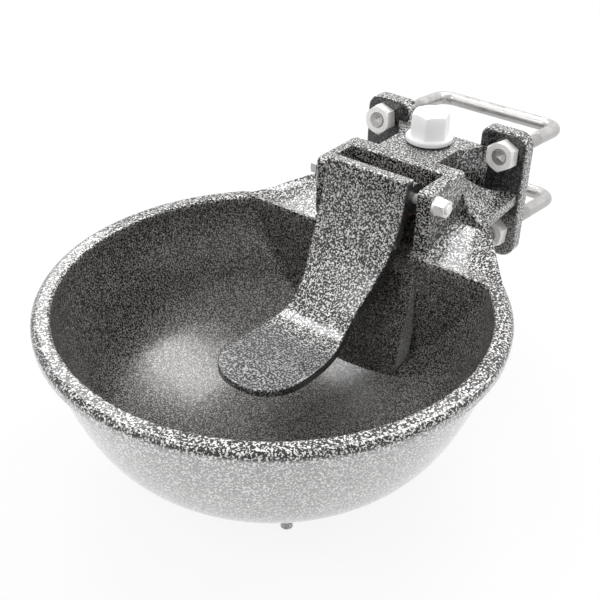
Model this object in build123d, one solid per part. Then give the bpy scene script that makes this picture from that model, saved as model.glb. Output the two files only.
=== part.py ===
from build123d import *
import os
from math import cos, pi, radians, sin, sqrt, tan

# Cast-iron drinking bowl for livestock, clamped to a post by two U-bolts. An animal presses
# the tongue, which turns on a bolt between two ears and pushes open a spring-loaded valve.
# Millimetres. +Z is up. The origin is the middle of the four clamp holes, on the back face
# of the clamp plate. The post stands at +Y and the bowl lies at -Y. The part is symmetric
# about X = 0, apart from the heads and nuts of its bolts.

# Bowl: depths are measured down from the top of the rim
bowl_reach = 178.0          # bowl axis to the back face of the clamp plate
rim_height = -10.0          # top of the rim, from the origin
rim_radius = 128.0
rim_width = 10.5
rim_depth = 8.0
rim_round = 3.5
rim_lip_round = 1.4         # lower edge of the rim
bowl_wall = 6.0
belly_radius = 108.5        # inside
belly_depth = 38.0
knuckle_radius = 96.0       # inside, where the wall turns into the floor
knuckle_depth = 64.0
floor_radius = 69.0
floor_depth = 79.5
bowl_depth = 90.5           # inside, at the middle of the dished floor
base_step = 1.5             # height of the step round the base
back_wall_reach = 82.0      # bowl axis to the flat back wall, at the rim
back_wall_lean = 5.0        # degrees
back_wall = 7.0
back_wall_round = 8.0       # between the flat back wall and the bowl's wall
foot_count = 4
foot_circle_radius = 70.0
foot_root_radius = 9.0
foot_tip_radius = 3.4
foot_drop = 3.0             # below the base

# Valve housing
ear_front_reach = 88.0      # bowl axis to the front of the ears
housing_length = 42.0
housing_half_width = 40.5
housing_top = 28.2
housing_base = -40.0
housing_corner = 4.0
housing_edge = 3.0
slot_edge = 1.2
slot_half_width = 32.3
slot_back_wall = 13.0
slot_floor = -21.0
pillar_half_width = 38.0
pillar_lean = 22.0          # how far the pillar comes forward over its height
pillar_corner = 12.0
pillar_top_rise = 4.0       # above the rim's top, inside the housing
neck_half_width = 21.0
neck_end_half_width = 33.0  # at the plate
neck_flare_reach = 28.0     # start of the widening to the back face of the plate
neck_slope_reach = 10.5     # start of the slope down to the notch
neck_base = -28.0
neck_corner = 6.0           # radius at the housing

# Wings that close the bowl's back corners, and the shelf behind them
wing_lead = 2.0             # front edge behind the top of the back wall
wing_inset = 1.0            # front corner, from the rim's outer edge
wing_drop = 3.2             # front edge below the rim's top, at the housing
wing_edge_drop = 2.5        # and at the rim
wing_skirt = 22.0
wing_sag = 2.0              # of the top, between the housing and the outer edge
wing_front_corner = 3.0     # radius where the front edge turns up into the housing
wing_corner = 7.0           # and behind it
wing_sections = 4
root_rise = 13.5            # of the top beside the housing, from the front edge to the waist
waist_half_width = 55.0
waist_reach = 45.0          # waist to the back face of the plate
waist_top = -1.0
shelf_thickness = 6.5
shelf_rise = 3.5            # from the waist to the plate
gusset_foot_height = 4.5    # top of the gusset where it meets the plate
gusset_width = 6.0
gusset_splay = 9.0          # how far its crest moves out towards the plate
gusset_sections = 4

# Clamp plate
plate_thickness = 9.0
plate_half_width = 57.6
plate_top = 39.8
plate_bottom = -43.4
plate_corner = 9.0
plate_edge = 2.0
notch_half_width = 26.0
notch_top = 22.5
notch_bottom = -28.0
notch_corner = 6.0
clamp_hole_x = 44.2         # half the distance between the legs of a U-bolt
clamp_hole_z = 26.3
clamp_hole_radius = 6.0

# U-bolts and their nuts
bar_radius = 4.45
upper_u_bolt_depth = 66.6   # plate back face to the middle of the cross bar
lower_u_bolt_depth = 72.5
u_bolt_bend = 10.0
u_bolt_droop = 6.0          # degrees, as it hangs in its clearance holes
stud_end = 0.4              # stud beyond its nut
clamp_nut_across_flats = 17.0
clamp_nut_thickness = 8.0
clamp_nut_turns = {"upper_left": 42.0, "upper_right": 32.0, "lower_left": 12.0, "lower_right": 27.0}
thread_clearance = 0.05
nut_chamfer_angle = 30.0
nut_countersink = 0.7

# Hinge of the tongue
hinge_reach = 95.0          # bowl axis to the hinge axis
hinge_height = 19.5
hinge_bolt_radius = 3.0
hinge_hole_clearance = 0.25
hinge_running_clearance = 0.08
hinge_head_across_flats = 10.0
hinge_head_thickness = 4.0
hinge_washer_radius = 5.6
hinge_washer_thickness = 1.8
hinge_nut_thickness = 6.0
hinge_bolt_end = 1.2

# Tongue
tongue_thickness = 8.0      # at the top
tongue_tip_thickness = 5.0
tongue_stations = 10        # points of the back face's curve
tongue_edge = 1.2
tongue_top = 34.0
tongue_hub_radius = 9.0
tongue_half_width = 27.9    # at the hinge
tongue_neck_half_width = 21.4
tongue_neck_reach = 47.0    # bowl axis to the narrowest place, backward
blade_top_reach = 83.2      # bowl axis to the blade's face, at its top
blade_shin_reach = 72.8     # and a little above the rim
blade_shin_rise = 5.0
bend_reach = 47.6           # bowl axis to the start of the bend
bend_rise = 10.3            # above the spoon
heel_reach = 36.0           # bowl axis to the end of the bend
heel_rise = 2.4
spoon_half_width = 27.4
spoon_depth = 39.3          # top face of the spoon below the rim's top
spoon_middle_reach = 10.0   # forward
spoon_tip_reach = 31.5      # bowl axis to the tip, forward
spoon_fall = 1.6            # at the tip
pusher_half_width = 7.0
pusher_reach = 8.0          # back face of the pusher, behind the hinge axis
pusher_tail = 7.0           # pusher below the valve's axis
pusher_play = 0.3
pusher_heel_length = 6.0
pusher_heel_drop = 4.0

# Valve
valve_height = -2.0
valve_bore_radius = 12.0
valve_bore_depth = 31.0
valve_barrel_length = 26.5
valve_flange_across_flats = 27.0
valve_flange_thickness = 6.0
valve_gasket_thickness = 1.5
valve_fit = 0.1
valve_front_wall = 2.5
valve_passage_radius = 4.8
valve_chamber_radius = 9.0
valve_chamber_length = 20.0
seat_ring_width = 1.5
seat_ring_height = 1.2
stem_radius = 2.5
tail_radius = 2.0
stem_fit = 0.05
stem_port_radius = 0.6
poppet_radius = 7.5
poppet_thickness = 3.0
seal_radius = 7.0
seal_thickness = 2.1
seal_play = 0.1
retainer_thickness = 3.5
retainer_port_radius = 1.6
strainer_thickness = 1.2
strainer_hole_radius = 0.9
strainer_rings = ((0.5, 8), (0.8, 12))  # share of the chamber's radius, number of holes
strainer_play = 0.1
spring_wire_radius = 0.45
spring_radius = 5.4
spring_turns = 4
tail_length = 12.0
port_count = 4
gasket_inset = 0.6          # of both gaskets, from the edge of their flange

# Water inlet: a port below, and one above that the plug closes
inlet_reach = 26.0          # inlet axis to the back face of the plate
inlet_radius = 9.3
inlet_depth = 26.0
inlet_boss_radius = 17.0
inlet_boss_base = -42.0
channel_radius = 7.5        # between both ports
plug_fit = 0.1
plug_shank_length = 13.0
plug_port_play = 0.7        # below the shank
plug_flange_radius = 14.6
plug_flange_thickness = 3.2
plug_flange_round = 1.5
plug_across_flats = 21.5
plug_height = 15.8
plug_turn = -13.0           # degrees
plug_draft = 1.5            # degrees
plug_crown = 1.6
plug_gasket_thickness = 1.2
plug_gasket_clearance = 0.1

# Places that follow from the sizes above
bowl_y = -bowl_reach
rim_inner_radius = rim_radius - rim_width
hinge_y = bowl_y + hinge_reach
ear_front_y = bowl_y + ear_front_reach
housing_back_y = ear_front_y + housing_length
slot_back_y = housing_back_y - slot_back_wall
wing_front_y = bowl_y + back_wall_reach + wing_lead
waist_y = -waist_reach
spoon_z = rim_height - spoon_depth
base_z = rim_height - bowl_depth - bowl_wall - base_step
plug_shank_radius = inlet_radius - plug_fit
far = 400.0                 # longer than the whole part


def placed(shape, x=0.0, y=0.0, z=0.0):
    """The shape, moved by x, y and z."""
    return Pos(x, y, z) * shape


def rod(radius, start, end, axis):
    """A round bar between two points of one axis direction."""
    middle = (Vector(*start) + Vector(*end)) * 0.5
    length = (Vector(*end) - Vector(*start)).length
    turn = {"x": Rot(0, 90, 0), "y": Rot(90, 0, 0), "z": Rot(0, 0, 0)}[axis]
    return Pos(middle) * turn * Cylinder(radius, length)


def slab(low, high):
    """A box between its lowest and its highest corner."""
    size = Vector(*high) - Vector(*low)
    middle = (Vector(*low) + Vector(*high)) * 0.5
    return Pos(middle) * Box(size.X, size.Y, size.Z)


def side_profile(edges, half_width):
    """A closed outline in Y and Z, extruded to both sides of X = 0."""
    return extrude(Plane.YZ * make_face(edges), half_width, both=True)


def hexagon(across_flats):
    return RegularPolygon(across_flats / 2, 6, major_radius=False)


def hex_block(across_flats, height, chamfered_end=True):
    """A hexagon along +Z from Z = 0, with its far corners chamfered to a circle."""
    block = extrude(hexagon(across_flats), height)
    if not chamfered_end:
        return block
    corner = across_flats / sqrt(3)
    drop = (corner - across_flats / 2) * tan(radians(nut_chamfer_angle))
    outline = Polyline((0, 0), (corner, 0), (corner, height - drop),
                       (across_flats / 2, height), (0, height), close=True)
    return block & revolve(Plane.XZ * make_face(outline), Axis.Z)


def hex_nut(across_flats, height, bore_radius):
    """A hexagon nut with a countersink at its outer end."""
    sink = placed(Cone(bore_radius, bore_radius + nut_countersink * 2, nut_countersink * 2),
                  0, 0, height)
    return hex_block(across_flats, height) - Cylinder(bore_radius, 3 * height) - sink


def bowl_outside():
    """Rim, wall, knuckle and base as one turned body, filled inside."""
    wall_top = (rim_inner_radius + bowl_wall, -rim_depth)
    belly = (belly_radius + bowl_wall, -belly_depth - bowl_wall / 3)
    knuckle = (knuckle_radius + bowl_wall * 0.8, -knuckle_depth - bowl_wall * 0.6)
    floor = (floor_radius + bowl_wall * 0.6, -floor_depth - bowl_wall)
    base = (floor[0] - base_step * 2, floor[1] - base_step)
    bottom = (0, -bowl_depth - bowl_wall - base_step)
    outline = [
        Line((0, 0), (rim_radius - rim_round, 0)),
        ThreePointArc((rim_radius - rim_round, 0),
                      (rim_radius - rim_round * 0.29, -rim_round * 0.29),
                      (rim_radius, -rim_round)),
        Line((rim_radius, -rim_round), (rim_radius, -rim_depth + rim_lip_round)),
        ThreePointArc((rim_radius, -rim_depth + rim_lip_round),
                      (rim_radius - rim_lip_round * 0.29, -rim_depth + rim_lip_round * 0.29),
                      (rim_radius - rim_lip_round, -rim_depth)),
        Line((rim_radius - rim_lip_round, -rim_depth), wall_top),
        Spline([wall_top, belly, knuckle, floor], tangents=[(-0.2, -1), (-1, -0.25)]),
        Line(floor, base),
        Spline([base, bottom], tangents=[(-1, -0.35), (-1, 0)]),
        Line(bottom, (0, 0)),
    ]
    body = revolve(Plane.XZ * make_face(outline), Axis.Z)
    return placed(body, 0, bowl_y, rim_height)


def bowl_inside():
    """The hollow of the bowl up to its flat back wall, with a soft corner there."""
    lip = (rim_inner_radius, -rim_round / 2)
    belly = (belly_radius, -belly_depth)
    knuckle = (knuckle_radius, -knuckle_depth)
    floor = (floor_radius, -floor_depth)
    bottom = (0, -bowl_depth)
    outline = [
        Line((0, far), (lip[0], far)),
        Line((lip[0], far), lip),
        Spline([lip, belly, knuckle, floor, bottom], tangents=[(0, -1), (-1, 0)]),
        Line(bottom, (0, far)),
    ]
    body = placed(revolve(Plane.XZ * make_face(outline), Axis.Z), 0, bowl_y, rim_height)
    body &= ahead_of_back_wall(0.0)
    flat = body.faces().filter_by(GeomType.PLANE).sort_by(Axis.Y)[-1]
    return fillet(flat.edges().sort_by(Axis.Z)[:-1], back_wall_round)


def mouth_round():
    """What the rounded inner edge of the rim takes away."""
    outer = rim_inner_radius + rim_round / 2
    outline = [
        Line((0, 0), (outer, 0)),
        ThreePointArc((outer, 0), (rim_inner_radius + rim_round * 0.15, -rim_round * 0.15),
                      (rim_inner_radius, -rim_round / 2)),
        Line((rim_inner_radius, -rim_round / 2), (0, -rim_round / 2)),
        Line((0, -rim_round / 2), (0, 0)),
    ]
    ring = revolve(Plane.XZ * make_face(outline), Axis.Z)
    return placed(ring, 0, bowl_y, rim_height) & ahead_of_back_wall(0.0)


def ahead_of_back_wall(offset):
    """Everything on the bowl's side of the leaning back wall, offset towards the plate."""
    block = slab((-far, -far, -far), (far, 0, far))
    return placed(Rot(back_wall_lean, 0, 0) * block, 0, bowl_y + back_wall_reach + offset, rim_height)


def feet():
    """Stubby feet that flare into the floor's wall."""
    root = base_z - foot_drop, rim_height - floor_depth - bowl_wall / 2
    height = root[1] - root[0]
    flare = (foot_tip_radius * 1.15, height / 2)
    outline = [
        Line((0, 0), (foot_tip_radius, 0)),
        ThreePointArc((foot_tip_radius, 0), flare, (foot_root_radius, height)),
        Line((foot_root_radius, height), (0, height)),
        Line((0, height), (0, 0)),
    ]
    foot = placed(revolve(Plane.XZ * make_face(outline), Axis.Z), foot_circle_radius, 0, root[0])
    ring = [Rot(0, 0, 45 + i * 360 / foot_count) * foot for i in range(foot_count)]
    return [placed(each, 0, bowl_y, 0) for each in ring]


def rim_half_width(y):
    """Half the rim's outer width at a place in Y."""
    return sqrt(rim_radius ** 2 - (y - bowl_y) ** 2)


def wing_section(y, inner_top, corner, outer_x, outer_top, sag, end):
    """A closed outline in X and Z between a wing's top and the height end.

    The top turns up into the housing's side and sags between there and the outer edge.
    """
    root = housing_half_width - housing_corner
    start = (housing_half_width + corner, inner_top)
    turn_up = (housing_half_width, inner_top + corner)
    middle = ((start[0] + outer_x) / 2, (inner_top + outer_top) / 2 - sag)
    outline = [
        Line((root, turn_up[1]), turn_up),
        ThreePointArc(turn_up, (turn_up[0] + corner * 0.29, inner_top + corner * 0.29), start),
        ThreePointArc(start, middle, (outer_x, outer_top)),
        Line((outer_x, outer_top), (outer_x, end)),
        Line((outer_x, end), (root, end)),
        Line((root, end), (root, turn_up[1])),
    ]
    return Plane((0, y, 0), x_dir=(1, 0, 0), z_dir=(0, -1, 0)) * make_face(outline)


def wing_body(end):
    """The body at +X between the wing's top and the height end."""
    rim_edge = rim_half_width(wing_front_y) - wing_inset
    front_top = rim_height - wing_edge_drop
    sections = []
    for i in range(wing_sections):
        share = i / (wing_sections - 1)
        swell = 3 * share ** 2 - 2 * share ** 3
        sections.append(wing_section(
            wing_front_y + (waist_y - wing_front_y) * share,
            rim_height - wing_drop + root_rise * share,
            wing_front_corner + (wing_corner - wing_front_corner) * share ** 0.5,
            rim_edge + (waist_half_width - rim_edge) * share,
            front_top + (waist_top - front_top) * swell,
            wing_sag * (1 - share / 2), end))
    return loft(sections)


def wing():
    """The sloping web at +X between the rim, the housing and the waist."""
    bottom = rim_height - wing_skirt
    rim_edge = rim_half_width(wing_front_y) - wing_inset
    return wing_body(bottom) - wing_underside(rim_edge, bottom)


def wing_underside(rim_edge, bottom):
    """The hollow below a wing, which leaves its top and its skirt one wall thick."""
    inner = housing_half_width + wing_inset
    top = rim_height - wing_drop - bowl_wall
    start_y = wing_front_y + back_wall
    slope = (rim_edge - waist_half_width) / (waist_y - wing_front_y)
    start_x = rim_edge - slope * back_wall - bowl_wall * 1.5
    end_x = waist_half_width - bowl_wall * 1.3
    plan = Polyline((inner, start_y), (start_x, start_y), (end_x, waist_y - bowl_wall),
                    (inner, waist_y - bowl_wall), close=True)
    return placed(extrude(make_face(plan), top - bottom + bowl_wall), 0, 0, bottom - bowl_wall)


def gusset():
    """The shelf's edge at +X and the web that falls from the housing's corner to the plate."""
    end_y = -plate_thickness / 2
    start_y = housing_back_y - housing_corner

    def section(y, inner_x, top, outer_x, shelf_top):
        crest = inner_x + gusset_width
        low = shelf_top - shelf_thickness
        hollow = (crest + (outer_x - crest) * 0.3, shelf_top + (top - shelf_top) * 0.3)
        outline = [
            Line((inner_x, top), (crest, top)),
            ThreePointArc((crest, top), hollow, (outer_x, shelf_top)),
            Line((outer_x, shelf_top), (outer_x, low)),
            Line((outer_x, low), (inner_x, low)),
            Line((inner_x, low), (inner_x, top)),
        ]
        return Plane((0, y, 0), x_dir=(1, 0, 0), z_dir=(0, -1, 0)) * make_face(outline)

    sections = []
    for i in range(gusset_sections):
        share = i / (gusset_sections - 1)
        fall = 1 - (1 - share) ** 1.5
        sections.append(section(
            start_y + (end_y - start_y) * share,
            housing_half_width - gusset_width + gusset_splay * share ** 1.4,
            housing_top - housing_edge + (gusset_foot_height - housing_top) * fall,
            waist_half_width + (plate_half_width - plate_edge - waist_half_width) * share,
            waist_top + shelf_rise * share))
    return loft(sections)


def shelf():
    """The floor between the neck and both gussets."""
    half = housing_half_width + gusset_width / 2
    return slab((-half, housing_back_y - housing_corner, waist_top - shelf_thickness),
                (half, -plate_thickness / 2, waist_top))


def housing():
    """The block with the two ears, before its slot is cut."""
    block = slab((-housing_half_width, ear_front_y, housing_base),
                 (housing_half_width, housing_back_y, housing_top))
    block = fillet(block.edges().filter_by(Axis.Z), housing_corner)
    return fillet(block.faces().sort_by(Axis.Z)[-1].edges(), housing_edge)


def slot():
    """The space between the ears, open above and in front, where the tongue hangs."""
    space = slab((-slot_half_width, ear_front_y - pillar_lean, slot_floor),
                 (slot_half_width, slot_back_y, housing_top + housing_length))
    bottom_back = space.edges().filter_by(Axis.X).sort_by(Axis.Z)[:2].sort_by(Axis.Y)[-1:]
    return fillet(bottom_back, housing_corner)


def slot_rim(casting):
    """The slot's top edges in the casting."""
    return casting.edges().filter_by(
        lambda edge: abs(edge.center().Z - housing_top) < housing_edge / 2
        and abs(edge.center().X) < slot_half_width + slot_edge
        and abs(edge.tangent_at(0.5).Z) < 0.5
        and abs(edge.center().Y - slot_back_y) < slot_back_wall / 2)


def pillar():
    """The rounded pier below the ears that leans forward to the floor."""
    top_z = rim_height + pillar_top_rise
    foot_z = rim_height - floor_depth - bowl_wall / 2
    front = ear_front_y - pillar_lean
    back = bowl_y + back_wall_reach + back_wall - tan(radians(back_wall_lean)) * floor_depth
    outline = Polyline((ear_front_y, top_z), (front, foot_z), (back, foot_z),
                       (ear_front_y + back_wall, top_z), close=True)
    pier = side_profile(outline, pillar_half_width)
    upright = pier.faces().sort_by(Axis.Y)[0].edges().filter_by(
        lambda edge: abs(edge.tangent_at(0.5).X) < 0.5)
    return fillet(upright, pillar_corner)


def plate():
    """The clamp plate with its four lugs."""
    outline = Polyline(
        (-plate_half_width, plate_bottom), (-notch_half_width, plate_bottom),
        (-notch_half_width, notch_bottom), (notch_half_width, notch_bottom),
        (notch_half_width, plate_bottom), (plate_half_width, plate_bottom),
        (plate_half_width, plate_top), (notch_half_width, plate_top),
        (notch_half_width, notch_top), (-notch_half_width, notch_top),
        (-notch_half_width, plate_top), (-plate_half_width, plate_top), close=True)
    body = extrude(Plane.XZ * make_face(outline), plate_thickness)
    outer = body.edges().filter_by(Axis.Y).filter_by(
        lambda edge: abs(edge.center().X) > plate_half_width - plate_edge)
    body = fillet(outer, plate_corner)
    lug = body.edges().filter_by(Axis.Y).filter_by(
        lambda edge: abs(abs(edge.center().X) - notch_half_width) < 0.01)
    body = fillet(lug, notch_corner)
    return fillet(body.faces().sort_by(Axis.Y)[0].edges(), plate_edge)


def neck_root(side):
    """Concave corner between the neck and the housing, at the side +1 or -1."""
    root_x, end_y = side * (neck_half_width + neck_corner), housing_back_y + neck_corner
    low, high = sorted((0, root_x))
    block = slab((low, housing_back_y - neck_corner, neck_base),
                 (high, end_y, housing_top - housing_edge))
    return block - rod(neck_corner, (root_x, end_y, -far), (root_x, end_y, far), "z")


def neck():
    """The bridge that widens and slopes down to the plate, with the inlet boss below it."""
    start_y, end_y = housing_back_y - slot_back_wall / 2, -plate_thickness / 2
    side = Polyline((start_y, neck_base), (end_y, neck_base), (end_y, notch_top),
                    (-neck_slope_reach, housing_top), (start_y, housing_top), close=True)
    right = [(neck_half_width, start_y), (neck_half_width, -neck_flare_reach),
             (neck_end_half_width, -plate_thickness), (neck_end_half_width, end_y)]
    left = [(-x, y) for x, y in reversed(right)]
    plan = extrude(make_face(Polyline(*right, *left, close=True)), far, both=True)
    boss = rod(inlet_boss_radius, (0, -inlet_reach, inlet_boss_base),
               (0, -inlet_reach, housing_top), "z")
    return (plan & side_profile(side, far)) + boss + neck_root(-1) + neck_root(1)


def clamp_holes():
    return [rod(clamp_hole_radius, (x, -2 * plate_thickness, z), (x, plate_thickness, z), "y")
            for x in (-clamp_hole_x, clamp_hole_x) for z in (-clamp_hole_z, clamp_hole_z)]


def inlet_ports():
    """The inlet, the plug's port above it, and the narrower channel between them."""
    inlet_top = inlet_boss_base + inlet_depth
    plug_port_base = housing_top + plug_gasket_thickness - plug_shank_length - plug_port_play
    ports = rod(inlet_radius, (0, -inlet_reach, -far), (0, -inlet_reach, inlet_top), "z")
    ports += rod(inlet_radius, (0, -inlet_reach, plug_port_base), (0, -inlet_reach, far), "z")
    return ports + rod(channel_radius, (0, -inlet_reach, -far), (0, -inlet_reach, far), "z")


def make_bowl_casting():
    """Bowl, wings, valve housing and clamp plate: one casting."""
    outside = bowl_outside()
    casting = outside & ahead_of_back_wall(back_wall)
    hollow = bowl_inside()
    casting -= hollow
    casting -= mouth_round()
    above_wing = wing_body(housing_top)
    casting -= above_wing
    casting -= mirror(above_wing, about=Plane.YZ)
    casting += pillar() & outside
    casting += housing()
    casting += neck()
    casting += plate()
    casting += shelf()
    for part in (wing(), gusset()):
        casting += part
        casting += mirror(part, about=Plane.YZ)
    for foot in feet():
        casting += foot - hollow
    casting -= slot()
    casting = fillet(slot_rim(casting), slot_edge)
    hinge_hole = hinge_bolt_radius + hinge_hole_clearance
    casting -= rod(hinge_hole, (-far, hinge_y, hinge_height), (far, hinge_y, hinge_height), "x")
    casting -= rod(valve_bore_radius, (0, slot_back_y - 1, valve_height),
                   (0, slot_back_y + valve_bore_depth, valve_height), "y")
    casting -= inlet_ports()
    for hole in clamp_holes():
        casting -= hole
    return casting


def tongue_plan():
    """The tongue's outline from above: wide at the hinge, a neck, and a round spoon."""
    tip = bowl_y - spoon_tip_reach
    neck_y = bowl_y + tongue_neck_reach
    back = hinge_y + tongue_hub_radius * 1.2
    shoulder = ear_front_y - tongue_thickness
    narrowing = (tongue_half_width + tongue_neck_half_width) / 2
    widening = (spoon_half_width + tongue_neck_half_width) / 2
    right = [
        Line((tongue_half_width, back), (tongue_half_width, shoulder)),
        Spline([(tongue_half_width, shoulder),
                (narrowing, (shoulder + neck_y) / 2),
                (tongue_neck_half_width, neck_y),
                (widening, neck_y * 0.6 + bowl_y * 0.4),
                (spoon_half_width, bowl_y),
                (spoon_half_width * 0.95, bowl_y - spoon_tip_reach * 0.47),
                (spoon_half_width * 0.7, bowl_y - spoon_tip_reach * 0.8),
                (0, tip)],
               tangents=[(0, -1), (-1, 0)]),
    ]
    left = [mirror(edge, about=Plane.YZ) for edge in right]
    closing = Line((tongue_half_width, back), (-tongue_half_width, back))
    return make_face(right + left + [closing])


def tongue_side():
    """The tongue's outline from the side: upright at the hinge, bent forward into the spoon."""
    path = [
        (bowl_y + blade_top_reach, tongue_top),
        (bowl_y + blade_shin_reach, rim_height + blade_shin_rise),
        (bowl_y + bend_reach, spoon_z + bend_rise),
        (bowl_y + heel_reach, spoon_z + heel_rise),
        (bowl_y - spoon_middle_reach, spoon_z),
        (bowl_y - spoon_tip_reach - tongue_edge, spoon_z - spoon_fall),
    ]
    face = Spline(path, tangents=[(-0.08, -1), (-1, -0.06)])
    back_path = []
    for i in range(tongue_stations + 1):
        share = i / tongue_stations
        along = face % share
        thickness = tongue_thickness + (tongue_tip_thickness - tongue_thickness) * share
        back_path.append(face @ share + Vector(-along.Y, along.X) * thickness)
    back = Spline(back_path)
    return make_face([face, back, Line(face @ 0, back @ 0), Line(face @ 1, back @ 1)])


def make_tongue():
    """Blade and spoon with soft edges, the hub and the rib that pushes the stem."""
    side = extrude(Plane.YZ * tongue_side(), far / 2, both=True)
    blade = side & placed(extrude(tongue_plan(), far), 0, 0, -far / 2)
    blade = fillet(blade.edges(), tongue_edge)
    hub_half = tongue_half_width - tongue_edge
    hub = rod(tongue_hub_radius, (-hub_half, hinge_y, hinge_height),
              (hub_half, hinge_y, hinge_height), "x")
    pusher_back = hinge_y + pusher_reach
    pusher_foot = valve_height - pusher_tail
    heel = pusher_foot - pusher_heel_drop
    rib_top_y = bowl_y + (blade_top_reach + blade_shin_reach + tongue_thickness) / 2
    rib = Polyline((hinge_y, hinge_height), (pusher_back, hinge_height),
                   (pusher_back, pusher_foot), (pusher_back - pusher_heel_length, heel),
                   (bowl_y + blade_shin_reach, heel), (rib_top_y, hinge_height - pusher_tail),
                   close=True)
    tongue = blade + hub + side_profile(rib, pusher_half_width)
    bore = hinge_bolt_radius + hinge_running_clearance
    return tongue - rod(bore, (-far, hinge_y, hinge_height), (far, hinge_y, hinge_height), "x")


def hinge_parts():
    """The bolt through both ears, its washer and its nut."""
    bolt_end = (housing_half_width + hinge_washer_thickness + hinge_nut_thickness
                + hinge_bolt_end)
    shank = rod(hinge_bolt_radius, (-housing_half_width, hinge_y, hinge_height),
                (bolt_end, hinge_y, hinge_height), "x")
    head = Rot(0, -90, 0) * hex_block(hinge_head_across_flats, hinge_head_thickness)
    bolt = shank + placed(head, -housing_half_width, hinge_y, hinge_height)
    washer_x = housing_half_width
    nut_x = washer_x + hinge_washer_thickness
    hole = hinge_bolt_radius + thread_clearance
    washer = (rod(hinge_washer_radius, (washer_x, hinge_y, hinge_height),
                  (nut_x, hinge_y, hinge_height), "x")
              - rod(hole, (0, hinge_y, hinge_height), (far, hinge_y, hinge_height), "x"))
    nut = Rot(0, 90, 0) * hex_nut(hinge_head_across_flats, hinge_nut_thickness, hole)
    return bolt, washer, placed(nut, nut_x, hinge_y, hinge_height)


def drooped(shape, z):
    """The shape, turned about the front of its clamp holes so that its back end hangs lower."""
    pivot = Pos(0, -plate_thickness, z)
    return pivot * Rot(-u_bolt_droop, 0, 0) * pivot.inverse() * shape


def make_u_bolt(z, depth):
    seat = clamp_nut_seat()
    start = -plate_thickness - seat - clamp_nut_thickness - stud_end
    path = FilletPolyline((-clamp_hole_x, start, z), (-clamp_hole_x, depth, z),
                          (clamp_hole_x, depth, z), (clamp_hole_x, start, z),
                          radius=u_bolt_bend)
    section = Plane((-clamp_hole_x, start, z), z_dir=(0, 1, 0)) * Circle(bar_radius)
    return drooped(sweep(section, path), z)


def clamp_nut_seat():
    """How far a tilted nut stands off the plate, so that only its lower edge touches."""
    return clamp_nut_across_flats / sqrt(3) * tan(radians(u_bolt_droop)) + thread_clearance


def make_clamp_nut(x, z, turn):
    nut = hex_nut(clamp_nut_across_flats, clamp_nut_thickness, bar_radius + thread_clearance)
    nut = Rot(90, 0, 0) * Rot(0, 0, turn) * nut
    return drooped(placed(nut, x, -plate_thickness - clamp_nut_seat(), z), z)


def ports(radius, circle_radius, start, end):
    """A ring of small water ports along Y."""
    holes = []
    for i in range(port_count):
        angle = radians(45 + i * 360 / port_count)
        x, z = circle_radius * cos(angle), valve_height + circle_radius * sin(angle)
        holes.append(rod(radius, (x, start, z), (x, end, z), "y"))
    return holes


def along_valve(radius, start, end):
    """A round bar on the valve's axis between two places in Y."""
    return rod(radius, (0, start, valve_height), (0, end, valve_height), "y")


flange_back_y = slot_back_y - valve_gasket_thickness
flange_front_y = flange_back_y - valve_flange_thickness
barrel_end_y = flange_back_y + valve_barrel_length
seat_y = barrel_end_y - valve_chamber_length
seal_front_y = seat_y + seat_ring_height + seal_play
poppet_front_y = seal_front_y + seal_thickness
poppet_back_y = poppet_front_y + poppet_thickness
strainer_back_y = barrel_end_y
retainer_back_y = strainer_back_y - strainer_thickness - strainer_play
retainer_front_y = retainer_back_y - retainer_thickness


def make_valve_body():
    """Brass barrel with a hexagon at its front, a raised seat and a chamber behind it."""
    flange = Rot(-90, 0, 0) * hex_block(valve_flange_across_flats, valve_flange_thickness, False)
    body = placed(flange, 0, flange_front_y, valve_height)
    body += along_valve(valve_bore_radius - valve_fit, flange_back_y, barrel_end_y)
    body -= along_valve(valve_passage_radius, flange_front_y + valve_front_wall, barrel_end_y + 1)
    body -= along_valve(valve_chamber_radius, seat_y, barrel_end_y + 1)
    ring = along_valve(valve_passage_radius + seat_ring_width, seat_y, seat_y + seat_ring_height)
    body += ring - along_valve(valve_passage_radius, seat_y - 1, barrel_end_y)
    body -= along_valve(stem_radius + stem_fit, flange_front_y - 1, seat_y)
    port_circle = (stem_radius + valve_passage_radius) / 2
    for port in ports(stem_port_radius, port_circle, flange_front_y - 1, seat_y):
        body -= port
    return body


def make_valve_gasket():
    ring = along_valve(valve_flange_across_flats / 2 - gasket_inset, flange_back_y, slot_back_y)
    return ring - along_valve(valve_bore_radius, flange_back_y - 1, slot_back_y + 1)


def make_valve_stem():
    """The stem that the tongue pushes, with the poppet and the tail behind it."""
    tip_y = hinge_y + pusher_reach + pusher_play
    stem = along_valve(stem_radius, tip_y + stem_radius, poppet_front_y)
    stem += placed(Sphere(stem_radius), 0, tip_y + stem_radius, valve_height)
    stem += along_valve(poppet_radius, poppet_front_y, poppet_back_y)
    return stem + along_valve(tail_radius, poppet_back_y, poppet_back_y + tail_length)


def make_valve_seal():
    disc = along_valve(seal_radius, seal_front_y, poppet_front_y)
    return disc - along_valve(stem_radius, seal_front_y - 1, poppet_front_y + 1)


def make_valve_spring():
    """Closing spring between the poppet and its retainer."""
    start = poppet_back_y + spring_wire_radius
    length = retainer_front_y - spring_wire_radius - start
    helix = Helix(length / spring_turns, length, spring_radius)
    section = Plane(origin=helix @ 0, z_dir=helix % 0) * Circle(spring_wire_radius)
    coil = sweep(section, helix)
    return placed(Rot(-90, 0, 0) * coil, 0, start, valve_height)


def make_spring_retainer():
    ring = along_valve(valve_chamber_radius - stem_fit, retainer_front_y, retainer_back_y)
    ring -= along_valve(tail_radius + stem_fit, retainer_front_y - 1, retainer_back_y + 1)
    circle = (tail_radius + valve_chamber_radius) / 2
    for port in ports(retainer_port_radius, circle, retainer_front_y - 1, retainer_back_y + 1):
        ring -= port
    return ring


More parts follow.
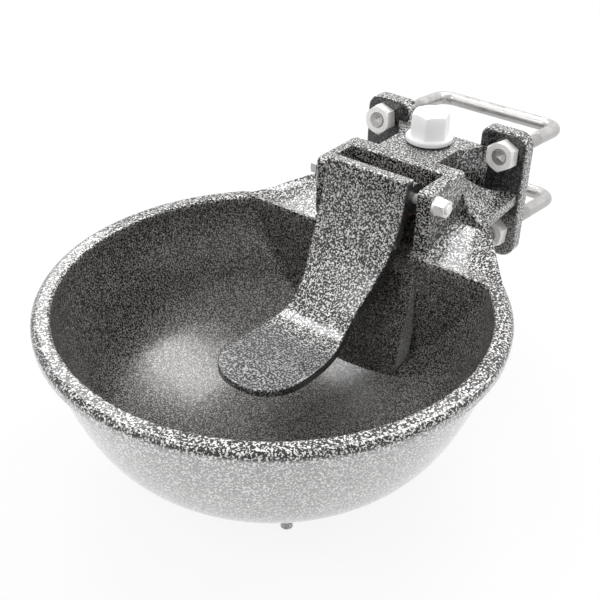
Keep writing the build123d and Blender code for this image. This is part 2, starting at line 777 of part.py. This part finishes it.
def make_valve_strainer():
    """Perforated disc that keeps grit out of the valve."""
    start = retainer_back_y + strainer_play
    disc = along_valve(valve_chamber_radius - stem_fit, start, strainer_back_y)
    disc -= along_valve(tail_radius + strainer_play * 2, start - 1, strainer_back_y + 1)
    for ring_share, count in strainer_rings:
        circle = valve_chamber_radius * ring_share
        for i in range(count):
            angle = 2 * pi * i / count
            x, z = circle * cos(angle), valve_height + circle * sin(angle)
            disc -= rod(strainer_hole_radius, (x, start - 1, z), (x, strainer_back_y + 1, z), "y")
    return disc


def make_inlet_plug():
    """Plastic plug: shank, round flange and a hexagon with a crowned top."""
    flange_z = housing_top + plug_gasket_thickness
    hex_z = flange_z + plug_flange_thickness
    crown_z = hex_z + plug_height
    shank = rod(plug_shank_radius, (0, 0, flange_z - plug_shank_length), (0, 0, flange_z), "z")
    flange = rod(plug_flange_radius, (0, 0, flange_z), (0, 0, hex_z), "z")
    flange = fillet(flange.edges().filter_by(GeomType.CIRCLE).sort_by(Axis.Z)[-1:],
                    plug_flange_round)
    head = extrude(Rot(0, 0, plug_turn) * hexagon(plug_across_flats), plug_height,
                   taper=plug_draft)
    head = placed(head, 0, 0, hex_z)
    corner = plug_across_flats / sqrt(3)
    dome = Polyline((0, hex_z), (corner, hex_z), (corner, crown_z - plug_crown * 1.6),
                    (corner * 0.9, crown_z - plug_crown), (corner * 0.62, crown_z), (0, crown_z),
                    close=True)
    head &= revolve(Plane.XZ * make_face(dome), Axis.Z)
    return placed(shank + flange + head, 0, -inlet_reach, 0)


def make_plug_gasket():
    top = housing_top + plug_gasket_thickness
    ring = rod(plug_flange_radius - gasket_inset, (0, 0, housing_top), (0, 0, top), "z")
    ring -= rod(plug_shank_radius + plug_gasket_clearance, (0, 0, housing_top - 1),
                (0, 0, top + 1), "z")
    return placed(ring, 0, -inlet_reach, 0)


def main():
    hinge_bolt, hinge_washer, hinge_nut = hinge_parts()
    nodes = {
        "bowl_casting": make_bowl_casting(),
        "tongue": make_tongue(),
        "hinge_bolt": hinge_bolt,
        "hinge_washer": hinge_washer,
        "hinge_nut": hinge_nut,
        "upper_u_bolt": make_u_bolt(clamp_hole_z, upper_u_bolt_depth),
        "lower_u_bolt": make_u_bolt(-clamp_hole_z, lower_u_bolt_depth),
        "valve_body": make_valve_body(),
        "valve_gasket": make_valve_gasket(),
        "valve_stem": make_valve_stem(),
        "valve_seal": make_valve_seal(),
        "valve_spring": make_valve_spring(),
        "spring_retainer": make_spring_retainer(),
        "valve_strainer": make_valve_strainer(),
        "inlet_plug": make_inlet_plug(),
        "plug_gasket": make_plug_gasket(),
    }
    for row, z in (("upper", clamp_hole_z), ("lower", -clamp_hole_z)):
        for side, x in (("left", -clamp_hole_x), ("right", clamp_hole_x)):
            corner = f"{row}_{side}"
            nodes[f"{corner}_clamp_nut"] = make_clamp_nut(x, z, clamp_nut_turns[corner])
    os.makedirs("parts", exist_ok=True)
    for name, shape in nodes.items():
        export_step(shape, f"parts/{name}.step")


main()
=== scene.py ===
"""Looks for a livestock drinking bowl: hammered paint, zinc plate, brass and white plastic.

Every CAD node keeps its shape and gets a procedural material. Only the closing spring is hidden,
behind a copy of its own mesh, fixed to the bowl. All lengths in the node trees are
in millimetres, measured in the row frame, so that a pattern stays on its piece from any side.
"""

from math import cos, radians, sin, tan

import bpy
from mathutils import Matrix, Vector


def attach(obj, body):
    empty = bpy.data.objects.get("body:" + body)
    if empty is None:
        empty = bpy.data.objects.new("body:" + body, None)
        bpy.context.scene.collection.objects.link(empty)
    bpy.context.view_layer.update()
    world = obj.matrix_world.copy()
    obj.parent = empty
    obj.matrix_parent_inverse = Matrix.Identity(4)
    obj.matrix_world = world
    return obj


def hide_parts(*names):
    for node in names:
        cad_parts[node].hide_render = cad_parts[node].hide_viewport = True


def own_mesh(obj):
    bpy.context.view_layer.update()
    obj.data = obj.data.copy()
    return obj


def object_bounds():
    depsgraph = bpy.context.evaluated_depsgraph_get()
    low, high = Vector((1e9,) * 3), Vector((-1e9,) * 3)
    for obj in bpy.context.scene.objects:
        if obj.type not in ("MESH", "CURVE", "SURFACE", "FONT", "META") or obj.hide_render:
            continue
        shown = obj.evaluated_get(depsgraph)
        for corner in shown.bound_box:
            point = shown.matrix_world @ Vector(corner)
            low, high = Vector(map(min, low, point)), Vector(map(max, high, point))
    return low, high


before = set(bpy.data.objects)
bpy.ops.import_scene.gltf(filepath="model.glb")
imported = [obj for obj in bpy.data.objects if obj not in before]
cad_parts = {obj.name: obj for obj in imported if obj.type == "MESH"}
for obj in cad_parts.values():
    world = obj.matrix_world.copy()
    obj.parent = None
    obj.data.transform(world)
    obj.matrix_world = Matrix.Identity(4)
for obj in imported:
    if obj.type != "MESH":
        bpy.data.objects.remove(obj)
cad_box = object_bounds()

# camera: an orbit round the centre of the rim's plane, in metres and degrees
RIM_CENTRE = Vector((0.0, -0.178, -0.010))
VIEW_AZIMUTH = 37.33
VIEW_ELEVATION = 32.93
VIEW_ROLL = 1.055
VIEW_DISTANCE = 0.5377
VIEW_SIDEWAYS = 0.0142
VIEW_DOWN = -0.0025
LENS_MM = 60.0
SENSOR_MM = 36.0
CLIP_START = 0.01

# the bowl, the tongue and the fasteners, in millimetres and degrees; a blend is the width over
# which one paint turns into the next
BOWL_REACH = 178.0
# the rim's bands, the neck and the floor's edge bound the paler paint outside the bowl, a painted
# reflection of the white floor, and the darker painted shade inside it
RIM_HEIGHT = -10.0
RIM_OUTER_BAND = 5.0
RIM_OUTER_BLEND = 3.0
RIM_INNER_BAND = 6.0
RIM_INNER_BLEND = 5.0
NECK_START = -52.0
NECK_BLEND = 12.0
FLOOR_EDGE = -90.0
FLOOR_BLEND = 2.0
# the tongue's silver turns darker from TIP_START towards its tip: painted shade
TIP_START = -145.0
TIP_FULL_SHADE = -165.0
HOLE_SIDE = 44.2
HOLE_HEIGHT = 26.3
HOLE_FRONT = -9.0
U_BOLT_DROOP = 6.0
THREAD_PITCH = 1.5
THREAD_END = 34.0
THREAD_RUNOUT = 2.0

# values of a normal's part between which a face turns from one way to the other
LOOKS_UP = (0.5, 0.8)
LOOKS_OUT = (-0.25, 0.25)
LOOKS_FRONT = (-0.9, -0.6)
LOOKS_SIDEWAYS = (0.6, 0.9)

# hammered paint: sizes of its grain and of the brown painted reflections inside the bowl in
# millimetres, and where a vein turns to silver
VEIN = 1.05
FINE_VEIN = 0.8
PATCH = 14.0
BROWN_REFLECTION = 30.0
SWELL = 3.2
RELIEF = 0.18
VEIN_EDGES = (0.505, 0.59)
FINE_VEIN_EDGES = (0.50, 0.60)

# studio
WORLD_LEVEL = 0.63
FLOOR_COLOUR = (0.90, 0.90, 0.89, 1)
FLOOR_SIZE = 12.0
SHADOW_SHARE = 0.12

# softboxes: spot, direction of the width, width and height in metres, power in watts
SOFTBOXES = {
    "top_softbox": ((-0.55, -0.04, 0.93), (1, 0, 0), 0.3, 0.3, 2.4),
    "back_softbox": ((-0.03, 0.48, 0.86), (1, 0, 0), 0.55, 0.40, 5.2),
    "left_softbox": ((-0.85, 0.25, 0.66), (0, 1, 0), 0.4, 0.4, 1.6),
    "right_softbox": ((0.62, 0.66, 0.55), (0, 1, 0), 0.25, 0.25, 1.6),
    "front_softbox": ((-0.35, -1.0, 0.9), (1, 0, 0), 0.6, 0.6, 3.6),
}


class Graph:
    """One material's node tree, with short calls for the nodes it uses."""

    def __init__(self, name, **constants):
        self.material = bpy.data.materials.new(name)
        self.material.use_nodes = True
        self.tree = self.material.node_tree
        self.tree.nodes.clear()
        self.shader = self.tree.nodes.new("ShaderNodeBsdfPrincipled")
        surface = self.tree.nodes.new("ShaderNodeOutputMaterial")
        self.tree.links.new(self.shader.outputs[0], surface.inputs["Surface"])
        for key, value in constants.items():
            self.shader.inputs[key.replace("_", " ")].default_value = value

    def put(self, socket, value):
        """Feeds a socket from another socket, or sets it to a constant."""
        if isinstance(value, bpy.types.NodeSocket):
            self.tree.links.new(value, socket)
        else:
            socket.default_value = value

    def shade(self, **sockets):
        for key, value in sockets.items():
            self.put(self.shader.inputs[key.replace("_", " ")], value)

    def add(self, kind, inputs=(), **settings):
        made = self.tree.nodes.new("ShaderNode" + kind)
        for key, value in settings.items():
            setattr(made, key, value)
        for key, value in dict(inputs).items():
            self.put(made.inputs[key], value)
        return made

    def place(self):
        """The point on the piece in millimetres."""
        return self.vector("SCALE", self.add("TexCoord").outputs["Object"], scale=1000.0)

    def facing(self):
        """The piece's own normal."""
        return self.add("TexCoord").outputs["Normal"]

    def vector(self, operation, a, b=None, scale=None):
        made = self.add("VectorMath", {0: a}, operation=operation)
        if b is not None:
            self.put(made.inputs[1], b)
        if scale is not None:
            made.inputs["Scale"].default_value = scale
        return made.outputs["Value" if operation == "DOT_PRODUCT" else "Vector"]

    def parts(self, vector):
        return self.add("SeparateXYZ", {0: vector}).outputs

    def math(self, operation, a, b=0.0):
        return self.add("Math", {0: a, 1: b}, operation=operation).outputs[0]

    def step(self, value, start, end, low=0.0, high=1.0):
        """Goes smoothly from low to high as value goes from start to end."""
        inputs = {"Value": value, "From Min": start, "From Max": end}
        inputs.update({"To Min": low, "To Max": high})
        return self.add("MapRange", inputs, interpolation_type="SMOOTHSTEP").outputs[0]

    def noise(self, vector, cell, detail=0.0, distortion=0.0):
        """Soft noise from 0 to 1 whose cells are that many millimetres across."""
        inputs = {"Vector": vector, "Scale": 1.0 / cell}
        inputs.update({"Detail": detail, "Distortion": distortion})
        return self.add("TexNoise", inputs).outputs["Fac"]

    def mix(self, share, a, b):
        """A colour between a and b."""
        return self.add("Mix", {0: share, 6: a, 7: b}, data_type="RGBA").outputs[2]

    def blend(self, share, a, b):
        """A number between a and b."""
        return self.add("Mix", {0: share, 2: a, 3: b}, data_type="FLOAT").outputs[0]

    def bump(self, height, depth, strength=1.0):
        """Height runs from 0 to 1 over a depth in millimetres."""
        inputs = {"Height": height, "Distance": depth / 1000, "Strength": strength}
        self.shade(Normal=self.add("Bump", inputs).outputs[0])
        return self.material


def grey(level, warmth=0.0):
    """A grey colour that leans to red as its warmth grows."""
    return (level * (1 + warmth), level, level * (1 - warmth), 1)


# colours of the hammered paint; a pair is mixed in patches
BLACK = grey(0.005, 0.04)
SILVERS = grey(0.54, 0.01), grey(0.76, 0.02)
# dark grey that takes the place of silver on the plate's front faces and the tongue's sides:
# painted shade
SHADE_SILVER = grey(0.10)
# duller silver at the tongue's tip: painted shade
TIP_SHADE_SILVER = grey(0.36)
# black inside the bowl, leaning brown in large patches: painted reflection
INNER_BLACKS = grey(0.006), grey(0.012, 0.45)
# darker silver inside the bowl: painted shade
INNER_SHADED_SILVERS = grey(0.30, 0.06), grey(0.44, 0.02)
# paler grey and silver outside the bowl: painted reflection of the white floor
OUTER_REFLECTION_GREY = grey(0.36)
OUTER_REFLECTION_SILVERS = grey(0.78), grey(0.92)


def veins(g, place, cell, edges):
    """Share of silver in hammered paint: short bent worms that join and part."""
    return g.step(g.noise(place, cell, detail=1.0, distortion=0.6), *edges)


def bowl_zones(g, place):
    """Shares of a point that lie on the bowl's outside and inside, below the rim's band."""
    normal, at = g.facing(), g.parts(place)
    from_axis = g.vector("ADD", place, (0, BOWL_REACH, 0))
    outward = g.vector("NORMALIZE", g.vector("MULTIPLY", from_axis, (1, 1, 0)))
    away = g.math("SUBTRACT", g.vector("DOT_PRODUCT", normal, outward), g.parts(normal)["Z"])
    deep = g.step(at["Z"], FLOOR_EDGE - FLOOR_BLEND, FLOOR_EDGE, 1, 0)
    underneath = g.math("MULTIPLY", deep, g.step(g.parts(normal)["Z"], *LOOKS_UP, 1, 0))
    outer_side = g.math("MAXIMUM", g.step(away, *LOOKS_OUT), underneath)
    inner_side = g.math("SUBTRACT", 1.0, outer_side)
    before_neck = g.step(at["Y"], NECK_START, NECK_START + NECK_BLEND, 1, 0)
    start = RIM_HEIGHT - RIM_OUTER_BAND
    below_rim = g.step(at["Z"], start, start + RIM_OUTER_BLEND, 1, 0)
    outside = g.math("MULTIPLY", outer_side, g.math("MULTIPLY", before_neck, below_rim))
    start = RIM_HEIGHT - RIM_INNER_BAND
    below_lip = g.step(at["Z"], start, start + RIM_INNER_BLEND, 1, 0)
    return outside, g.math("MULTIPLY", inner_side, below_lip)


def painted_shade_on_plate_front(g, at, normal):
    """1 on the plate's front faces, where the silver is darkened as painted shade."""
    behind = g.step(at["Y"], HOLE_FRONT - 1.0, HOLE_FRONT - 0.2)
    return g.math("MULTIPLY", g.step(normal["Y"], *LOOKS_FRONT, 1, 0), behind)


def painted_shade_on_tongue_sides(g, normal):
    """1 on the tongue's sides, where the silver is darkened as painted shade."""
    return g.step(g.math("ABSOLUTE", normal["X"]), *LOOKS_SIDEWAYS)


def hammered_paint(name, zoned):
    """Two-tone hammered enamel: silver veins on black, under a clear glossy coat.

    On the casting, which is zoned, the veins are finer inside the bowl; there the silver is
    darker as painted shade and the black leans brown in patches as painted reflection. Outside
    the bowl the paint is paler, a painted reflection of the white floor. The plate's front faces
    and the tongue's sides show less silver, as painted shade, and on the tongue the silver turns
    duller towards the tip, also as painted shade.
    """
    g = Graph(name, Specular_IOR_Level=0.2, Coat_Weight=1.0, Coat_Roughness=0.10)
    place = g.place()
    patches = g.noise(place, PATCH, detail=2.0)
    coarse = veins(g, place, VEIN, VEIN_EDGES)
    at, normal = g.parts(place), g.parts(g.facing())
    silver = g.mix(patches, *SILVERS)
    if zoned:
        painted_shade = painted_shade_on_plate_front(g, at, normal)
    else:
        painted_shade = painted_shade_on_tongue_sides(g, normal)
        # silver darkens towards the tongue's tip: painted shade
        silver = g.mix(g.step(at["Y"], TIP_FULL_SHADE, TIP_START, 1, 0), silver, TIP_SHADE_SILVER)
    # the silver turns to dark grey on faces picked by the way they face: painted shade
    colour = g.mix(coarse, BLACK, g.mix(painted_shade, silver, SHADE_SILVER))
    metal = g.blend(coarse, 0.0, 0.55)
    rough = g.blend(coarse, 0.30, 0.50)
    if zoned:
        outside, inside = bowl_zones(g, place)
        fine = veins(g, place, FINE_VEIN, FINE_VEIN_EDGES)
        # large patches of the inner black lean brown: painted reflection
        brown = g.mix(g.noise(place, BROWN_REFLECTION, detail=1.0), *INNER_BLACKS)
        # inside the bowl the veins are finer and the silver darker, the darker silver being
        # painted shade
        shaded_inside = g.mix(fine, brown, g.mix(patches, *INNER_SHADED_SILVERS))
        # outside the bowl, and on faces underneath, the paint is paler: painted reflection of the
        # white floor
        pale = g.mix(coarse, OUTER_REFLECTION_GREY, g.mix(patches, *OUTER_REFLECTION_SILVERS))
        colour = g.mix(outside, g.mix(inside, colour, shaded_inside), pale)
        metal = g.blend(outside, metal, 0.15)
        rough = g.blend(inside, rough, 0.34)
        g.shade(Coat_Roughness=g.blend(inside, 0.08, 0.24))
    g.shade(Base_Color=colour, Metallic=metal, Roughness=rough)
    swell = g.noise(place, SWELL, detail=1.0)
    height = g.math("ADD", g.math("MULTIPLY", coarse, 0.4), g.math("MULTIPLY", swell, 0.6))
    return g.bump(height, RELIEF, strength=0.6)


def zinc(name, dark, light, metallic):
    """Bright zinc plate: faint crystals, a little yellow passivation and rubbed patches."""
    g = Graph(name, Metallic=metallic)
    place = g.place()
    film = g.noise(place, 5.0, detail=3.0)
    speck = g.noise(place, 0.35, detail=2.0)
    g.shade(Base_Color=g.mix(film, grey(dark, 0.01), grey(light, 0.02)))
    g.shade(Roughness=g.step(g.math("ADD", film, speck), 0.6, 1.4, low=0.22, high=0.48))
    return g, place, speck


def zinc_fastener(name):
    g, _, speck = zinc(name, dark=0.88, light=0.97, metallic=0.4)
    return g.bump(speck, 0.03, strength=0.5)


def zinc_thread(name, hole_height):
    """Zinc-plated bar whose legs carry a rolled thread up to THREAD_END behind the plate."""
    g, place, speck = zinc(name, dark=0.40, light=0.56, metallic=0.8)
    x, y, z = (g.parts(place)[axis] for axis in "XYZ")
    side = g.math("MULTIPLY", g.math("SIGN", x), HOLE_SIDE)
    fall = g.math("MULTIPLY", g.math("SUBTRACT", y, HOLE_FRONT), tan(radians(U_BOLT_DROOP)))
    above = g.math("ADD", g.math("SUBTRACT", z, hole_height), fall)
    turn = g.math("ARCTAN2", above, g.math("SUBTRACT", x, side))
    turns = g.math("ADD", g.math("DIVIDE", y, THREAD_PITCH), g.math("DIVIDE", turn, radians(360)))
    flank = g.math("PINGPONG", turns, 0.5)
    cut = g.step(y, THREAD_END - THREAD_RUNOUT, THREAD_END, 1, 0)
    thread = g.math("MULTIPLY", g.math("MULTIPLY", flank, 2.0), cut)
    return g.bump(g.math("ADD", thread, g.math("MULTIPLY", speck, 0.04)), THREAD_PITCH / 2)


def white_plastic(name):
    """Moulded polyethylene: soft sheen, faint flow marks, light that enters a little."""
    g = Graph(name, Subsurface_Weight=0.5, Subsurface_Radius=(1, 1, 1), Subsurface_Scale=0.006)
    g.shade(Specular_IOR_Level=0.4)
    place = g.place()
    flow = g.noise(g.vector("MULTIPLY", place, (1, 1, 0.25)), 4.0, detail=3.0)
    g.shade(Base_Color=g.mix(flow, grey(0.95), grey(0.99)))
    g.shade(Roughness=g.step(flow, 0.3, 0.7, low=0.30, high=0.45))
    return g.bump(g.noise(place, 0.5, detail=2.0), 0.04, strength=0.4)


# slot, then its dark and light grey, warmth and roughness, then the nodes that have it
TURNED_METALS = [
    ("valve_brass", (0.42, 0.62, 0.35, 0.30), "valve_body", "spring_retainer"),
    ("stem_steel", (0.50, 0.66, 0.02, 0.24), "valve_stem"),
    ("spring_steel", (0.40, 0.58, 0.0, 0.28), "valve_spring"),
    ("strainer_steel", (0.45, 0.62, 0.01, 0.34), "valve_strainer"),
]


def turned_metal(name, dark, light, warmth, roughness):
    """Machined metal: fine rings from the tool and a faint tarnish."""
    g = Graph(name, Metallic=1.0)
    place = g.place()
    tarnish = g.noise(place, 3.0, detail=4.0)
    rings = g.noise(g.vector("MULTIPLY", place, (0.1, 4.0, 0.1)), 0.8, detail=1.0)
    g.shade(Base_Color=g.mix(tarnish, grey(dark, warmth), grey(light, warmth)))
    g.shade(Roughness=g.step(rings, 0.3, 0.7, roughness - 0.08, roughness + 0.10))
    return g.bump(rings, 0.05, strength=0.4)


def rubber(name):
    """Black rubber with a dusty bloom and a fine moulded grain."""
    g = Graph(name, Specular_IOR_Level=0.35)
    place = g.place()
    bloom = g.noise(place, 2.5, detail=4.0)
    g.shade(Base_Color=g.mix(bloom, grey(0.012), grey(0.045)))
    g.shade(Roughness=g.step(bloom, 0.3, 0.7, low=0.55, high=0.8))
    return g.bump(g.noise(place, 0.3, detail=2.0), 0.04, strength=0.5)


def dress(material, *nodes):
    """Gives CAD nodes their material."""
    for name in nodes:
        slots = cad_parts[name].data.materials
        slots.clear()
        slots.append(material)


def dress_all():
    dress(hammered_paint("hammered_paint", zoned=True), "bowl_casting")
    dress(hammered_paint("hammered_paint_tongue", zoned=False), "tongue")
    dress(
        zinc_fastener("zinc"),
        *["hinge_bolt", "hinge_washer", "hinge_nut"],
        *[f"{row}_{side}_clamp_nut" for row in ("upper", "lower") for side in ("left", "right")],
    )
    dress(zinc_thread("zinc_bar_upper", HOLE_HEIGHT), "upper_u_bolt")
    dress(zinc_thread("zinc_bar_lower", -HOLE_HEIGHT), "lower_u_bolt")
    dress(white_plastic("plug_plastic"), "inlet_plug")
    dress(rubber("seal_rubber"), "plug_gasket", "valve_gasket", "valve_seal")
    for name, look, *nodes in TURNED_METALS:
        dress(turned_metal(name, *look), *nodes)


def fit_spring():
    """Puts a copy of the closing spring in its place, fixed to the bowl, and hides the original.

    The stem's poppet pushes one end in. The other end rests on the retainer, which stands still.
    """
    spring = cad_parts["valve_spring"]
    coil = bpy.data.objects.new("closing_spring", spring.data.copy())
    coil.matrix_world = spring.matrix_world
    bpy.context.scene.collection.objects.link(coil)
    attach(coil, "bowl")
    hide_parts("valve_spring")
    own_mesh(coil)


def make_camera():
    """Looks at the rim's centre from the right, the front and above."""
    a, e, roll = radians(VIEW_AZIMUTH), radians(VIEW_ELEVATION), radians(VIEW_ROLL)
    level = Vector((cos(a), sin(a), 0))
    back = Vector((sin(a) * cos(e), -cos(a) * cos(e), sin(e)))
    rise = back.cross(level)
    right = level * cos(roll) + rise * sin(roll)
    up = rise * cos(roll) - level * sin(roll)
    camera = bpy.data.objects.new("camera", bpy.data.cameras.new("camera"))
    camera.data.lens = LENS_MM
    camera.data.sensor_width = SENSOR_MM
    camera.data.clip_start = CLIP_START
    turn = Matrix((right, up, back)).transposed().to_4x4()
    spot = RIM_CENTRE + back * VIEW_DISTANCE + right * VIEW_SIDEWAYS + up * VIEW_DOWN
    camera.matrix_world = Matrix.Translation(spot) @ turn
    bpy.context.scene.collection.objects.link(camera)
    bpy.context.scene.camera = camera


def softbox(name, spot, along, width, height, power):
    """A flat lamp that looks at the bowl, its width lying along the given direction."""
    lamp = bpy.data.lights.new(name, "AREA")
    lamp.shape, lamp.size, lamp.size_y, lamp.energy = "RECTANGLE", width, height, power
    holder = bpy.data.objects.new(name, lamp)
    back = (Vector(spot) - RIM_CENTRE).normalized()
    rise = back.cross(Vector(along)).normalized()
    turn = Matrix((rise.cross(back), rise, back)).transposed().to_4x4()
    holder.matrix_world = Matrix.Translation(spot) @ turn
    bpy.context.scene.collection.objects.link(holder)


def seen_directly(tree):
    """1 for rays from the camera, and for those that metal mirrors or glass lets through."""
    path = tree.nodes.new("ShaderNodeLightPath")
    seen = path.outputs["Is Camera Ray"]
    for kind in ("Is Glossy Ray", "Is Transmission Ray"):
        either = tree.nodes.new("ShaderNodeMath")
        either.operation = "MAXIMUM"
        tree.links.new(seen, either.inputs[0])
        tree.links.new(path.outputs[kind], either.inputs[1])
        seen = either.outputs[0]
    return seen


def make_world():
    """White where the camera sees it, and a soft even level for the light."""
    world = bpy.data.worlds.new("studio")
    bpy.context.scene.world = world
    world.use_nodes = True
    tree = world.node_tree
    light = tree.nodes["Background"]
    light.inputs["Strength"].default_value = WORLD_LEVEL
    white = tree.nodes.new("ShaderNodeBackground")
    both = tree.nodes.new("ShaderNodeMixShader")
    tree.links.new(seen_directly(tree), both.inputs[0])
    tree.links.new(light.outputs[0], both.inputs[1])
    tree.links.new(white.outputs[0], both.inputs[2])
    tree.links.new(both.outputs[0], tree.nodes["World Output"].inputs[0])
    for shader in (light, white):
        shader.inputs["Color"].default_value = (1, 1, 1, 1)


def make_floor():
    """A pale floor under the bowl that turns white for the camera and keeps a soft shadow."""
    lowest = cad_box[0].z
    half = FLOOR_SIZE / 2
    mesh = bpy.data.meshes.new("floor")
    sides = [(-half, -half), (half, -half), (half, half), (-half, half)]
    corners = [(x, y, lowest) for x, y in sides]
    mesh.from_pydata(corners, [], [(0, 1, 2, 3)])
    floor = bpy.data.objects.new("floor", mesh)
    bpy.context.scene.collection.objects.link(floor)
    material = bpy.data.materials.new("floor")
    material.use_nodes = True
    tree = material.node_tree
    tree.nodes.clear()
    matt = tree.nodes.new("ShaderNodeBsdfDiffuse")
    matt.inputs["Color"].default_value = FLOOR_COLOUR
    glow = tree.nodes.new("ShaderNodeEmission")
    glow.inputs["Color"].default_value = (1, 1, 1, 1)
    share = tree.nodes.new("ShaderNodeMath")
    share.operation = "MULTIPLY"
    share.inputs[1].default_value = 1 - SHADOW_SHARE
    both = tree.nodes.new("ShaderNodeMixShader")
    surface = tree.nodes.new("ShaderNodeOutputMaterial")
    tree.links.new(seen_directly(tree), share.inputs[0])
    tree.links.new(share.outputs[0], both.inputs[0])
    tree.links.new(matt.outputs[0], both.inputs[1])
    tree.links.new(glow.outputs[0], both.inputs[2])
    tree.links.new(both.outputs[0], surface.inputs["Surface"])
    mesh.materials.append(material)


def make_studio():
    make_world()
    make_floor()
    for name, lamp in SOFTBOXES.items():
        softbox(name, *lamp)
    bpy.context.scene.view_settings.view_transform = "Standard"


make_camera()
make_studio()
dress_all()
fit_spring()
